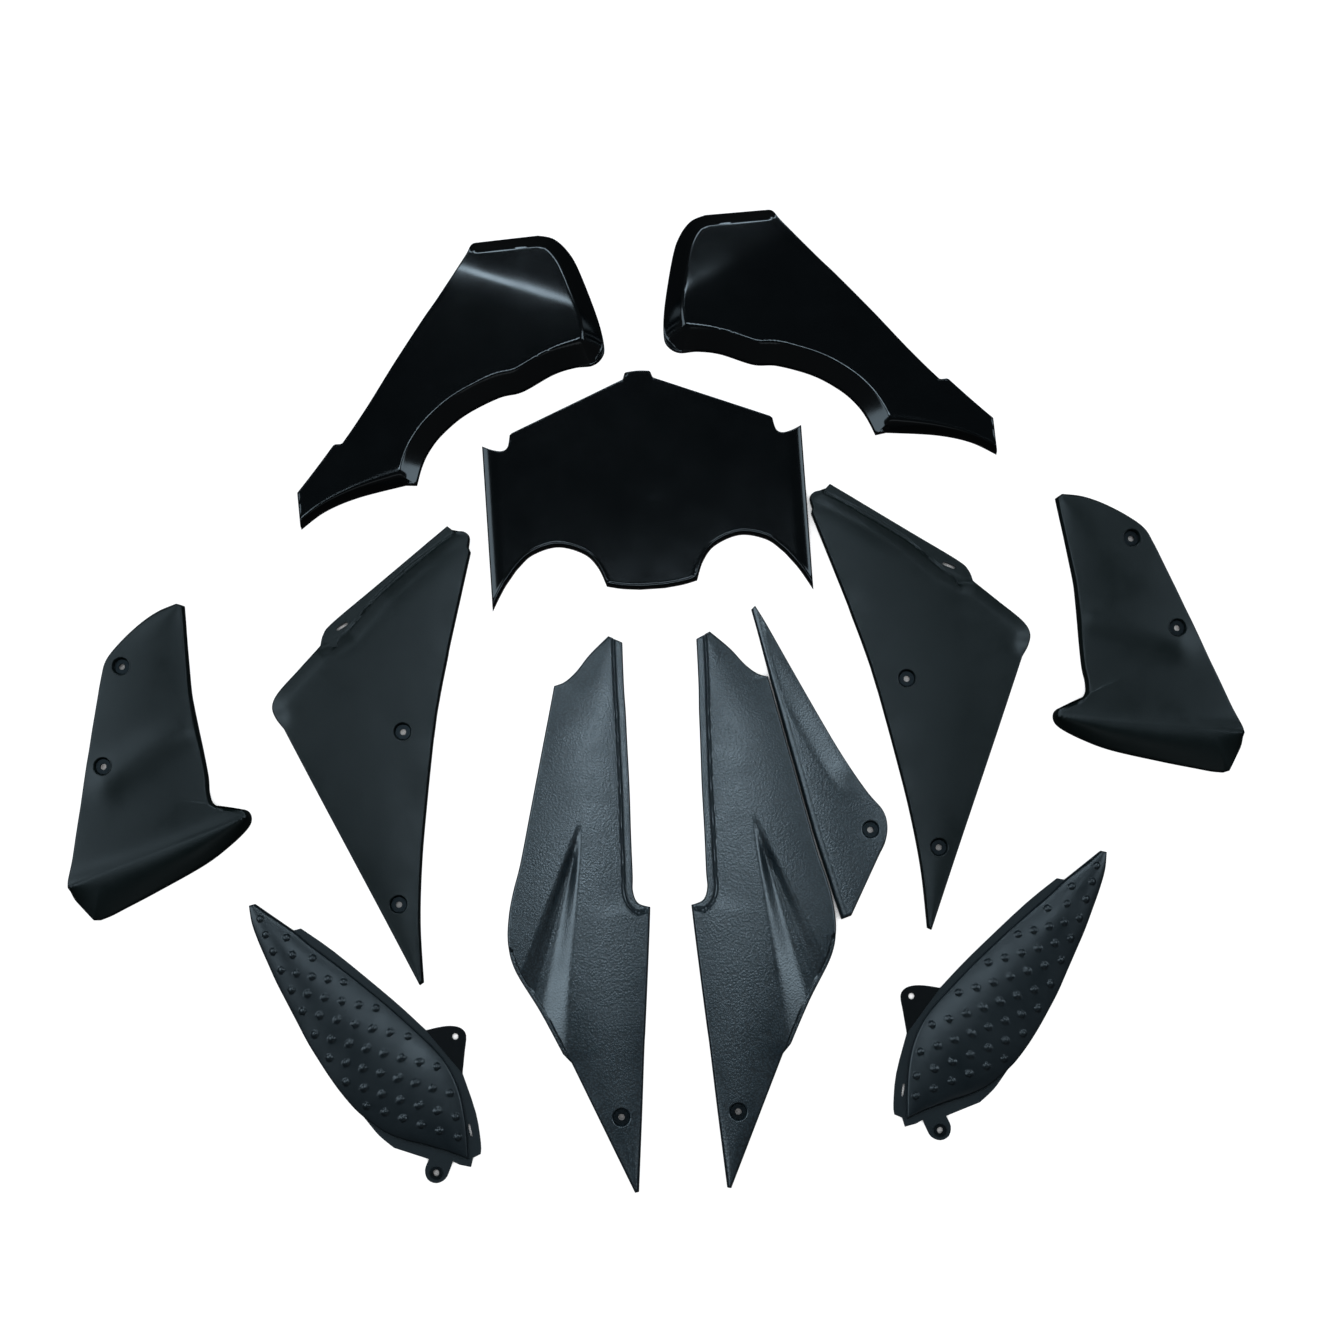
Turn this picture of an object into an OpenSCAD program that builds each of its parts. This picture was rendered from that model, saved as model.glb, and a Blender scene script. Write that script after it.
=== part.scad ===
// Motorcycle fairing panel set: twelve loose moulded panels laid out face up.
// Each panel is drawn face up in its own frame, as the left one of its pair, and is then
// placed in the layout. A panel is a thin shell between two edges that run from its top end
// to its bottom end, and its faces turn down at the edges so that its rim rests at z = 0.

/* [Mouldings] */
// Wall of the panels
wall = 2.6; // [2.2:0.1:3]
// Height of the duct panels' raised face
duct_rise = 22; // [18:1:26]
// Height of the fin panels' ridge
fin_rise = 16; // [14:1:20]
// Height of the frame covers' face
frame_rise = 10; // [9:1:14]
// Height of the side covers' and the wedge cover's face
side_rise = 12; // [10:1:16]
// Height of the nose panel's face
nose_rise = 9; // [7:1:12]

/* [Grip panels] */
// Thickness of the backing plate
carrier_t = 3; // [2.5:0.5:4]
// Height of the pad's crown above the backing plate
pad_rise = 10; // [8:1:13]
// Thickness of the small bracket
bracket_t = 2.4; // [2:0.2:2.8]

/* [Screw cups] */
// Radius of a cup, inside
cup_r = 7.6; // [7.3:0.1:8]
// Depth of a cup below the face
cup_depth = 4.5; // [4:0.5:5]
// Radius of the screw hole in a collar
screw_r = 2.75; // [2.6:0.05:2.9]

/* [Hidden] */
$fn = 48;

// Where each panel lies: its origin and its turn in degrees
nose_at = [-13, 168.4, 4];
duct_left_at = [-191.5, 299.4, -30];
duct_right_at = [142.5, 338.4, 42];
fin_left_at = [-441.5, -80.6, -9];
fin_right_at = [414.5, 29.4, 26];
frame_left_at = [-251.5, -60.6, -9];
frame_right_at = [245, -8.6, 18.5];
side_left_at = [-66.5, -220.6, -3];
side_right_at = [87, -213.6, 8];
grip_left_at = [-262, -330.6, 38];
grip_right_at = [304.5, -290.1, -34];

// Edges of each panel: points of its outer edge and of its inner edge, in pairs that lie
// across from each other. A third value of 1 makes a sharp corner, and the edge is a smooth
// curve through the rest.
duct_outer = [
    [-38, 111, 1], [-41, 104], [-39.5, 90], [-39.5, 70], [-40, 50], [-40.5, 36], [-41, 28],
    [-41.5, 20], [-42, 6], [-42.5, -12], [-43, -36], [-43, -52], [-43, -76], [-43.5, -94],
    [-44, -106], [-44.5, -114], [-45, -121, 1], [-51, -125, 1], [-53, -148], [-55, -168],
    [-56.5, -181, 1]
];
duct_inner = [
    [6, 144, 1], [20, 148.5], [37, 145], [56, 134], [94, 103], [114, 82], [118, 71],
    [114, 60], [101, 50], [87, 34], [71, 6], [55, -10], [37, -39], [28, -66],
    [26, -86], [28, -102], [33, -119, 1], [24, -124, 1], [-8, -156], [-27, -182],
    [-37, -207, 1]
];
fin_outer = [
    [-19, 149, 1], [-34, 139.5], [-48, 125.5], [-62, 106], [-71, 88], [-72, 72], [-71, 48],
    [-70, 24], [-69, 6], [-68.5, -6], [-68, -14], [-67.5, -22], [-67, -30], [-66.5, -38],
    [-66, -46], [-65, -66], [-63.5, -90], [-62.5, -112], [-57, -124], [-46, -133],
    [-35, -141, 1]
];
fin_inner = [
    [-12, 148, 1], [-8, 134], [-3, 116], [4, 92], [10, 72], [15, 59], [23, 40],
    [32, 19], [40, -1], [44, -15], [50, -24], [64, -26], [79, -24.5], [85, -31],
    [83, -41], [70, -59], [51, -79], [15, -108], [-10, -127], [-20, -134.5],
    [-29, -140, 1]
];
frame_outer = [
    [25, 209, 1], [18, 200.5], [10, 191], [2, 181.2], [-2, 176.4], [-30, 142.6], [-62, 104],
    [-68, 92], [-68.5, 82, 1], [-84, 57], [-98, 34], [-101, 21], [-96, 11], [-86, 2, 1],
    [-46, -49], [-6, -99.5], [34, -150], [74, -201, 1]
];
frame_inner = [
    [32, 205, 1], [41, 206], [47, 202], [48, 192, 1], [50.5, 188, 1], [49, 150], [47.5, 112],
    [47, 98], [47, 88], [46.5, 64], [46.5, 40], [47, 28], [47.5, 18], [48, 8],
    [52, -44], [57, -96], [65, -148], [77, -198, 1]
];
side_outer = [
    [6, 261, 1], [-10, 243], [-21, 227], [-31, 217], [-40, 213, 1], [-43, 188], [-49, 140],
    [-54.6, 95], [-60, 52], [-64.5, 28], [-67, 6], [-66, -18], [-58, -41], [-34, -75],
    [-12, -110, 1], [-4, -117, 1], [20, -158.7], [40, -193.5], [57, -223, 1]
];
side_inner = [
    [19, 256, 1], [21, 234], [23, 214], [24.5, 202], [26, 190], [28.5, 166], [33, 124],
    [36.5, 84], [40, 48], [41, 34], [46, 24], [57, 21, 1], [57.5, 0], [58, -36],
    [58.5, -84], [58.5, -100], [59.5, -150], [60, -184], [60.5, -222, 1]
];
wedge_outer = [
    [-38, 279, 1], [-46, 260], [-60, 223], [-80, 171], [-95, 134], [-112, 98], [-123, 80],
    [-125, 66], [-121, 52], [-113, 40], [-97, 16], [-81, -8, 1]
];
wedge_inner = [
    [-34, 276, 1], [-36.5, 256], [-40.2, 222], [-46, 172], [-50.7, 134], [-54.9, 100], [-57.4, 80],
    [-59.5, 64], [-62.4, 46], [-65.6, 28], [-68, 12], [-72, -10, 1]
];
pad_outer = [
    [1, 163, 1], [-6, 149], [-11, 132], [-15, 114], [-19, 95], [-22, 76], [-25, 56],
    [-28, 36], [-29.5, 18], [-30.5, 0], [-30.5, -18], [-29, -36], [-25.5, -51], [-20, -67],
    [-11, -82], [1, -97], [13, -113, 1]
];
pad_inner = [
    [6, 161, 1], [10, 147], [15, 133], [19.5, 119], [23, 104], [27, 90], [31, 76],
    [37, 54], [42, 34], [47, 12], [52, -14], [56, -39], [56, -57], [52, -76],
    [44, -95], [33, -114], [23, -129, 1]
];
// The nose panel is drawn from its middle to its right side, top edge and bottom edge
nose_top = [
    [0, 120.5], [12, 119.5, 1], [14, 113, 1], [28, 107.2], [45, 100], [56, 95.4], [66, 91.2],
    [85, 83.2], [104, 75.2], [121, 68, 1], [123.5, 56], [129, 52.5], [138, 54.5], [147, 59, 1]
];
nose_bottom = [
    [0, -85], [10, -85], [13, -84.8], [28, -83], [41, -80, 1], [48, -62], [60, -48.5],
    [83, -40.5], [106, -46], [120, -57.5], [127, -66], [133, -74], [139, -84], [145.5, -96, 1]
];
carrier_outline = [
    [6, 161, 1], [2, 161, 1], [-6, 143], [-11.5, 118], [-18, 88], [-24, 50], [-27, 10],
    [-28, -25], [-27, -50], [-26, -66], [-22, -82, 1], [-4, -108, 1], [-12, -113], [-15, -121],
    [-11, -128], [-3, -130], [5, -126], [11, -122, 1], [14, -128, 1], [20.5, -135.5, 1],
    [26.5, -130.5, 1], [33.5, -132, 1], [39, -125], [51, -102], [62, -68, 1], [59, -19, 1],
    [55, 4], [49, 32], [36, 85], [25, 119, 1], [19, 121.5, 1]
];
bracket_outline = [
    [59, -19, 1], [69, -23.5], [78, -29], [84, -36], [84, -44], [75, -54], [62, -68, 1]
];

// Screw cups of each panel, in its own frame
side_cups = [[42, -160]];
frame_cups = [[20, 16], [44, -135]];
fin_cups = [[-55, 84], [-52, -7]];
wedge_cups = [[-109, 64]];
lug_hole = [-6, -121];
bracket_hole = [76, -39];

// Clip slot of the frame covers: its middle, turn, length and width
clip_slot = [-52, 102, 42, 12, 3];
// Slot of the backing plates, the same way
plate_slot = [38.5, -110.5, 66, 11, 2];

// Flute of the side covers: its top, its straight inner side and the foot of its outer side
flute_top = [-9, 88];
flute_foot = [-50, -36];
flute_depth = 6;
// Hollow of the wedge cover along its outer edge
hollow_from = [-60, 223];
hollow_to = [-106, 98];
hollow_w = 26;
hollow_depth = 5;

rim = 3;             // width over which a face turns down at a plain edge
duct_band = 16;      // width of the duct panels' sloping band
fin_wall = 14;       // width of the fin panels' foot wall
nose_side = 14;      // width of the nose panel's side strips
channel_w = 9;       // width of the side covers' channel strip
channel_floor = 5;   // height of the channel strip
clip_strip = 9.5;    // width of the frame covers' clip strip, at its narrow end
clip_wide = 6;       // how much wider it is at the slot
clip_floor = 6;      // height of the clip strip
collar_t = 1;        // thickness of a collar's flange
collar_gap = 1;      // flange radius below cup radius
sleeve_r = 4;        // outside radius of a collar's sleeve
cup_wall = 1.6;      // wall and floor of a cup
step_len = 15;       // longest piece of an edge between two rows

function flat(p) = [p.x, p.y];
function corner(p) = len(p) > 2;
function bend(a, b, c, d, t) = 0.5 * (2 * b + (c - a) * t + (2 * a - 5 * b + 4 * c - d) * t * t
    + (3 * b - a - 3 * c + d) * t * t * t);
// Point at share t of the way from knot i to knot i + 1 of edge e
function edge_at(e, i, t) = let(n = len(e), b = flat(e[i]), c = flat(e[i + 1]))
    bend(corner(e[i]) || i == 0 ? b : flat(e[i - 1]), b, c,
         corner(e[i + 1]) || i + 2 > n - 1 ? c : flat(e[i + 2]), t);
// Number of rows between knots i and i + 1 of the edges a and b
function rows_in(a, b, i) = max(1, ceil(max(norm(flat(a[i + 1]) - flat(a[i])),
    norm(flat(b[i + 1]) - flat(b[i]))) / step_len));
// The same rows on both edges, as pairs of points
function rows(a, b) = [
    for (i = [0:len(a) - 2])
        let(n = rows_in(a, b, i))
            for (k = [0:n - 1]) [edge_at(a, i, k / n), edge_at(b, i, k / n)],
    [flat(a[len(a) - 1]), flat(b[len(b) - 1])]
];
// Shares of a row of length w at which its points lie, closer together near the edges
function shares(w) = let(e1 = min(rim, 0.1 * w) / w, e2 = min(9, 0.2 * w) / w, e3 = min(17, 0.32 * w) / w)
    [0, e1, e2, e3, 0.5, 1 - e3, 1 - e2, 1 - e1, 1];
function grid(rs) = [
    for (r = rs) [for (s = shares(norm(r[1] - r[0]))) r[0] + (r[1] - r[0]) * s]
];
// Distance from p to the line from a to b
function to_line(p, a, b) = let(d = b - a, t = max(0, min(1, (p - a) * d / max(d * d, 0.001))))
    norm(p - a - d * t);
// Distance from p to a chain of points
function to_chain(p, c) = min([for (i = [0:len(c) - 2]) to_line(p, c[i], c[i + 1])]);
// Smooth rise from 0 to 1
function ease(t) = let(u = max(0, min(1, t))) sin(90 * u);
function soft(t) = let(u = max(0, min(1, t))) u * u * (3 - 2 * u);

// Triangles of a closed shell of r rows and c columns, upper points first
function shell_faces(r, c) = let(n = r * c) [
    for (i = [0:r - 2]) for (j = [0:c - 2]) let(k = i * c + j) each [
        [k, k + 1, k + c], [k + 1, k + c + 1, k + c],
        [n + k, n + k + c, n + k + 1], [n + k + 1, n + k + c, n + k + c + 1]
    ],
    for (i = [0:r - 2]) let(k = i * c, m = i * c + c - 1) each [
        [k, k + c, n + k], [k + c, n + k + c, n + k],
        [m, n + m, m + c], [m + c, n + m, n + m + c]
    ],
    for (j = [0:c - 2]) let(k = j, m = (r - 1) * c + j) each [
        [k, n + k, k + 1], [k + 1, n + k, n + k + 1],
        [m, m + 1, n + m], [m + 1, n + m + 1, n + m]
    ]
];

// Closed shell over a grid of points. over(p, inset) is the height of its face, and inset
// moves the edges in by the wall to give its underside.
module shell(g, over) {
    top = [for (r = g) for (p = r) [p.x, p.y, over(p, 0)]];
    under = [for (r = g) for (p = r) [p.x, p.y, max(0, over(p, wall) - wall)]];
    polyhedron(concat(top, under), shell_faces(len(g), len(g[0])));
}

// Share of the full height at p, from the distances to chains of the edge, each with the
// width over which the face turns down
function turn_down(p, inset, chains) =
    ease(min([for (c = chains) (to_chain(p, c[0]) - inset) / c[1]]));
function side_a(rs, from, to) = [for (i = [from:to]) rs[i][0]];
function side_b(rs, from, to) = [for (i = [from:to]) rs[i][1]];
function last(v) = len(v) - 1;
// Row that knot k starts
function row_of(a, b, k) = k == 0 ? 0 : row_of(a, b, k - 1) + rows_in(a, b, k - 1);
function outline(rs) = concat(side_b(rs, 0, last(rs)), [for (i = [last(rs):-1:0]) rs[i][0]],
    [rs[0][1]]);

// Heights of the faces
function duct_over(p, inset, rs) =
    let(foot = row_of(duct_outer, duct_inner, 16))
    let(band = concat([rs[0][0]], side_b(rs, 0, foot)))
    let(rest = concat([for (i = [0:last(rs)]) rs[i][0]], [for (i = [last(rs):-1:foot]) rs[i][1]]))
    let(fall = 1 - 0.55 * soft((-70 - p.y) / 120))
    rim + (duct_rise - rim) * fall * turn_down(p, inset, [[band, duct_band], [rest, rim]]);
function fin_over(p, inset, rs) =
    let(foot = row_of(fin_outer, fin_inner, 13))
    let(wall_edge = side_b(rs, foot, last(rs)))
    let(rest = concat([for (i = [last(rs):-1:0]) rs[i][0]], side_b(rs, 0, foot)))
    let(climb = 0.55 + 0.45 * soft((110 - p.y) / 220))
    rim + (fin_rise - rim) * climb * turn_down(p, inset, [[wall_edge, fin_wall], [rest, 2 * rim]]);
function frame_over(p, inset, rs) =
    let(strip = side_a(rs, 0, row_of(frame_outer, frame_inner, 8)))
    let(strip_w = clip_strip + clip_wide * soft((125 - p.y) / 25))
    let(step = soft((to_chain(p, strip) - inset - strip_w) / 2))
    let(face = rim + (frame_rise - rim) * turn_down(p, inset, [[outline(rs), 2 * rim]]))
    let(low = rim + (clip_floor - rim) * turn_down(p, inset, [[outline(rs), rim]]))
    low + (face - low) * step;
// Depth of the flute at p
function flute_at(p) =
    let(down = (flute_top.y - p.y) / (flute_top.y - flute_foot.y))
    let(across = (flute_top.x - p.x) / max(1, down * (flute_top.x - flute_foot.x)))
    down <= 0 ? 0 : flute_depth * soft(1.5 * down) * soft(across / 0.4) * soft((1 - across) / 0.4);
function side_over(p, inset, rs) =
    let(top = row_of(side_outer, side_inner, 9))
    let(strip = side_b(rs, 0, top))
    let(rest = concat([strip[0]], [for (i = [0:last(rs)]) rs[i][0]],
        [for (i = [last(rs):-1:top]) rs[i][1]]))
    let(face = rim + (side_rise - rim) * turn_down(p, inset, [[rest, 2 * rim]]))
    let(step = soft((to_chain(p, strip) - inset - channel_w + 1) / 2))
    let(low = rim + (channel_floor - rim) * turn_down(p, inset, [[strip, rim], [rest, rim]]))
    low + (face - low) * step - flute_at(p) * turn_down(p, inset, [[rest, 4 * rim]]);
function wedge_over(p, inset, rs) =
    let(ridge = soft((60 - to_chain(p, side_b(rs, 0, last(rs)))) / 60))
    let(hollow = hollow_depth * soft(1 - to_line(p, hollow_from, hollow_to) / hollow_w))
    rim + ((side_rise - rim) * (0.7 + 0.3 * ridge) - hollow)
        * turn_down(p, inset, [[outline(rs), 2 * rim]]);
function nose_over(p, inset, rs) =
    let(ends = [rs[0], rs[last(rs)]])
    let(long = [side_a(rs, 0, last(rs)), side_b(rs, 0, last(rs))])
    rim + (nose_rise - rim) * turn_down(p, inset,
        [[ends[0], nose_side], [ends[1], nose_side], [long[0], rim], [long[1], rim]]);

// Rows of points across each panel
duct_rows = rows(duct_outer, duct_inner);
fin_rows = rows(fin_outer, fin_inner);
frame_rows = rows(frame_outer, frame_inner);
side_rows = rows(side_outer, side_inner);
wedge_rows = rows(wedge_outer, wedge_inner);
pad_rows = rows(pad_outer, pad_inner);
function flip(e) = [for (i = [last(e):-1:1]) corner(e[i]) ? [-e[i].x, e[i].y, 1] : [-e[i].x, e[i].y]];
nose_rows = rows(concat(flip(nose_top), nose_top), concat(flip(nose_bottom), nose_bottom));

// Height of a cup's floor, from the height of the face at its middle
function cup_floor(h) = h - cup_depth;

// Adds screw cups to a shell at [x, y, face height] places
module with_cups(cups) {
    difference() {
        union() {
            children();
            for (c = cups)
                translate([c.x, c.y, cup_floor(c.z) - cup_wall])
                    cylinder(h = cup_depth + cup_wall - 1, r = cup_r + cup_wall);
        }
        for (c = cups) {
            translate([c.x, c.y, cup_floor(c.z)]) cylinder(h = 2 * cup_depth, r = cup_r);
            translate([c.x, c.y, -1]) cylinder(h = cup_floor(c.z) + 2, r = sleeve_r);
        }
    }
}

// Flanged collar that sits in each cup
module collars(cups) {
    for (c = cups)
        translate([c.x, c.y, cup_floor(c.z)])
            difference() {
                union() {
                    cylinder(h = collar_t, r = cup_r - collar_gap);
                    translate([0, 0, -cup_wall]) cylinder(h = cup_wall + collar_t / 2, r = sleeve_r);
                }
                translate([0, 0, -cup_wall - 1]) cylinder(h = cup_wall + collar_t + 2, r = screw_r);
            }
}

module place(at) { translate([at.x, at.y, 0]) rotate(at.z) children(); }
module place_mirrored(at) { place(at) mirror([1, 0, 0]) children(); }

// Cups with the height of the face at their middles
fin_seats = [for (c = fin_cups) [c.x, c.y, fin_over(c, 0, fin_rows)]];
frame_seats = [for (c = frame_cups) [c.x, c.y, frame_over(c, 0, frame_rows)]];
side_seats = [for (c = side_cups) [c.x, c.y, side_over(c, 0, side_rows)]];
wedge_seats = [for (c = wedge_cups) [c.x, c.y, wedge_over(c, 0, wedge_rows)]];

module nose_shape() {
    shell(grid(nose_rows), function(p, inset) nose_over(p, inset, nose_rows));
}
module duct_shape() {
    shell(grid(duct_rows), function(p, inset) duct_over(p, inset, duct_rows));
}
module fin_shape() {
    with_cups(fin_seats) shell(grid(fin_rows), function(p, inset) fin_over(p, inset, fin_rows));
}
module frame_shape() {
    difference() {
        with_cups(frame_seats)
            shell(grid(frame_rows), function(p, inset) frame_over(p, inset, frame_rows));
        translate([clip_slot.x, clip_slot.y, frame_rise / 2]) rotate(clip_slot[2])
            cube([clip_slot[3], clip_slot[4], 2 * frame_rise], center = true);
    }
}
module side_shape() {
    with_cups(side_seats)
        shell(grid(side_rows), function(p, inset) side_over(p, inset, side_rows));
}
module wedge_shape() {
    with_cups(wedge_seats)
        shell(grid(wedge_rows), function(p, inset) wedge_over(p, inset, wedge_rows));
}
// Smooth closed outline through knots
function closed(e) = let(n = len(e)) [
    for (i = [0:n - 1])
        let(a = flat(e[(i + n - 1) % n]), b = flat(e[i]), c = flat(e[(i + 1) % n]),
            d = flat(e[(i + 2) % n]), from = corner(e[i]) ? b : a,
            to = corner(e[(i + 1) % n]) ? c : d,
            steps = corner(e[i]) && corner(e[(i + 1) % n]) ? 1 : 3)
            for (k = [0:steps - 1]) bend(from, b, c, to, k / steps)
];
module carrier_shape() {
    difference() {
        linear_extrude(carrier_t) polygon(closed(carrier_outline));
        translate([lug_hole.x, lug_hole.y, -1]) cylinder(h = carrier_t + 2, r = sleeve_r);
        translate([plate_slot.x, plate_slot.y, carrier_t / 2]) rotate(plate_slot[2])
            cube([plate_slot[3], plate_slot[4], 2 * carrier_t], center = true);
    }
}
module bracket_shape() {
    difference() {
        linear_extrude(bracket_t) polygon(concat([flat(bracket_outline[last(bracket_outline)])],
            [for (i = [0:last(bracket_outline) - 1]) for (k = [0:2])
                edge_at(bracket_outline, i, k / 3)]));
        translate([bracket_hole.x, bracket_hole.y, -1]) cylinder(h = bracket_t + 2, r = screw_r);
    }
}
// Solid crowned pad on the backing plate
module pad_shape() {
    edge = outline(pad_rows);
    g = grid(pad_rows);
    top = [for (r = g) for (p = r)
        [p.x, p.y, carrier_t + 1 + (pad_rise - 1) * ease(to_chain(p, edge) / 22)]];
    under = [for (r = g) for (p = r) [p.x, p.y, carrier_t]];
    polyhedron(concat(top, under), shell_faces(len(g), len(g[0])));
}
module lug_collar_shape() {
    translate([lug_hole.x, lug_hole.y, 0])
        difference() {
            union() {
                cylinder(h = carrier_t, r = sleeve_r);
                translate([0, 0, carrier_t]) cylinder(h = collar_t, r = sleeve_r + 1.5);
            }
            translate([0, 0, -1]) cylinder(h = carrier_t + collar_t + 2, r = screw_r);
        }
}

module nose_panel() { color("#1d2326") place(nose_at) nose_shape(); }
module duct_panel_left() { color("#1a2023") place(duct_left_at) duct_shape(); }
module duct_panel_right() { color("#1a2023") place_mirrored(duct_right_at) duct_shape(); }
module fin_panel_left() { color("#2b3236") place(fin_left_at) fin_shape(); }
module fin_panel_right() { color("#2b3236") place_mirrored(fin_right_at) fin_shape(); }
module frame_cover_left() { color("#30383c") place(frame_left_at) frame_shape(); }
module frame_cover_right() { color("#30383c") place_mirrored(frame_right_at) frame_shape(); }
module side_cover_left() { color("#3a4347") place(side_left_at) side_shape(); }
module side_cover_right() { color("#3a4347") place_mirrored(side_right_at) side_shape(); }
module wedge_cover_right() { color("#3a4347") place_mirrored(side_right_at) wedge_shape(); }
module grip_carrier_left() { color("#5a6468") place(grip_left_at) carrier_shape(); }
module grip_carrier_right() { color("#5a6468") place_mirrored(grip_right_at) carrier_shape(); }
module grip_pad_left() { color("#262d30") place(grip_left_at) pad_shape(); }
module grip_pad_right() { color("#262d30") place_mirrored(grip_right_at) pad_shape(); }
module grip_bracket_left() { color("#15191b") place(grip_left_at) bracket_shape(); }
module grip_bracket_right() { color("#15191b") place_mirrored(grip_right_at) bracket_shape(); }
module side_cover_collar_left() { color("silver") place(side_left_at) collars(side_seats); }
module side_cover_collar_right() {
    color("silver") place_mirrored(side_right_at) collars(side_seats);
}
module frame_cover_collars_left() { color("silver") place(frame_left_at) collars(frame_seats); }
module frame_cover_collars_right() {
    color("silver") place_mirrored(frame_right_at) collars(frame_seats);
}
module fin_collars_left() { color("silver") place(fin_left_at) collars(fin_seats); }
module fin_collars_right() { color("silver") place_mirrored(fin_right_at) collars(fin_seats); }
module wedge_collar() { color("silver") place_mirrored(side_right_at) collars(wedge_seats); }
module grip_lug_collar_left() { color("silver") place(grip_left_at) lug_collar_shape(); }
module grip_lug_collar_right() {
    color("silver") place_mirrored(grip_right_at) lug_collar_shape();
}

nose_panel();
duct_panel_left();
duct_panel_right();
fin_panel_left();
fin_panel_right();
frame_cover_left();
frame_cover_right();
side_cover_left();
side_cover_right();
wedge_cover_right();
grip_carrier_left();
grip_carrier_right();
grip_pad_left();
grip_pad_right();
grip_bracket_left();
grip_bracket_right();
side_cover_collar_left();
side_cover_collar_right();
frame_cover_collars_left();
frame_cover_collars_right();
fin_collars_left();
fin_collars_right();
wedge_collar();
grip_lug_collar_left();
grip_lug_collar_right();
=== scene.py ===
"""Motorcycle fairing panel set: twelve loose moulded panels laid out face up."""

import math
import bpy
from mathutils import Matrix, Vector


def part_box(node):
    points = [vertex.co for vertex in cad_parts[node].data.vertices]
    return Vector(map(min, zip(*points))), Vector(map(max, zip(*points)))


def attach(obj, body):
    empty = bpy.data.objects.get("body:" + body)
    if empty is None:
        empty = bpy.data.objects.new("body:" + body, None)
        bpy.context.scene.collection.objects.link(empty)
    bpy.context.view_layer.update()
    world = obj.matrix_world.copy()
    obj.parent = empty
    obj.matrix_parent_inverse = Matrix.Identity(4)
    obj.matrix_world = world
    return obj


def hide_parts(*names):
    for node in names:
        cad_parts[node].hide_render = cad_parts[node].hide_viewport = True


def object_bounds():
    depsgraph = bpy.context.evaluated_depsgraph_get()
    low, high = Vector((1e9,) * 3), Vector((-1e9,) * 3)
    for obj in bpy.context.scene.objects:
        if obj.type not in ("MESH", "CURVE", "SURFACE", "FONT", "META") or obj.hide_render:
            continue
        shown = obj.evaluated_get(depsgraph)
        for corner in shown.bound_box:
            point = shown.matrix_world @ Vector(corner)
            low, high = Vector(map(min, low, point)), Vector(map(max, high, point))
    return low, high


bl_info = {
    "name": "Motorcycle fairing panel set",
    "version": (1, 0, 0),
    "blender": (4, 5, 0),
    "location": "View3D > Sidebar > Fairing",
    "description": "Builds the panels of a motorcycle fairing set in their layout",
    "category": "Add Mesh",
}

import bpy
import numpy as np
from bpy.props import FloatProperty, FloatVectorProperty, IntProperty, PointerProperty
from mathutils import Vector

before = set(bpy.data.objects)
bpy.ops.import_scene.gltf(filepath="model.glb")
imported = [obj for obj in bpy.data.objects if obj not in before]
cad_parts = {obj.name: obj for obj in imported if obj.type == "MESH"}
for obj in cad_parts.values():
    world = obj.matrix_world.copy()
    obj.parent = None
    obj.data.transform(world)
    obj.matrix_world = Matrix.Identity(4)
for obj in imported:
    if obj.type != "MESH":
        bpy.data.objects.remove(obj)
CAD_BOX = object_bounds()

MM = 0.001


# ---------------- colours and sizes

def linear(hex_colour):
    """sRGB hex value as the linear colour that the shaders take."""
    channels = [int(hex_colour[i:i + 2], 16) / 255 for i in (1, 3, 5)]
    return tuple(c / 12.92 if c <= 0.04045 else ((c + 0.055) / 1.055) ** 2.4 for c in channels)


def colour(name, description, value):
    """A colour that a user can change."""
    return FloatVectorProperty(name=name, description=description, default=linear(value),
                               subtype="COLOR", size=3, min=0, max=1)


def length(name, description, value, least=0.0):
    """A length in metres that a user can change, given here in millimetres."""
    return FloatProperty(name=name, description=description, default=value * MM,
                         min=least * MM, subtype="DISTANCE", unit="LENGTH")


class FairingSizes(bpy.types.PropertyGroup):
    """Sizes of the panels"""
    wall: length("Wall", "Wall of the moulded panels", 2.6, 1)
    duct_rise: length("Duct rise", "Height of the duct panels' raised face", 21.6)
    duct_band: length("Duct band", "Width of the duct panels' sloping band", 16)
    fin_rise: length("Fin rise", "Height of the fin panels' foot ridge", 15.4)
    frame_rise: length("Frame cover rise", "Height of the frame covers' face", 10)
    side_rise: length("Side cover rise", "Height of the side covers' face", 12)
    nose_rise: length("Nose rise", "Height of the nose panel's face", 9)
    pad_rise: length("Pad rise", "Height of the grip pads' crown above the backing plate", 9.6)
    cup_radius: length("Cup radius", "Radius of the screw cups, inside", 7.6, 5)
    dome_radius: length("Dome radius", "Radius of the domes on the grip pads", 3.1)
    dome_rise: length("Dome rise", "Height of the domes on the grip pads", 1.8)


class FairingColours(bpy.types.PropertyGroup):
    """Colours of the mouldings, the collars and the floor"""
    gloss: colour("Gloss black", "Duct panels and nose panel", "#040607")
    satin: colour("Satin black", "Fin panels and frame covers", "#09100f")
    grained: colour("Grained black", "Side covers and wedge cover", "#1c2529")
    pad: colour("Pad black", "Grip pads", "#0f1619")
    carrier: colour("Backing plate grey", "Flange and lug of the grip panels", "#191e20")
    bracket: colour("Bracket black", "Small brackets of the grip panels", "#030405")
    collar: colour("Collar steel", "Screw collars", "#25292b")
    floor: colour("Floor", "Floor under the panels", "#ffffff")


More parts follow.
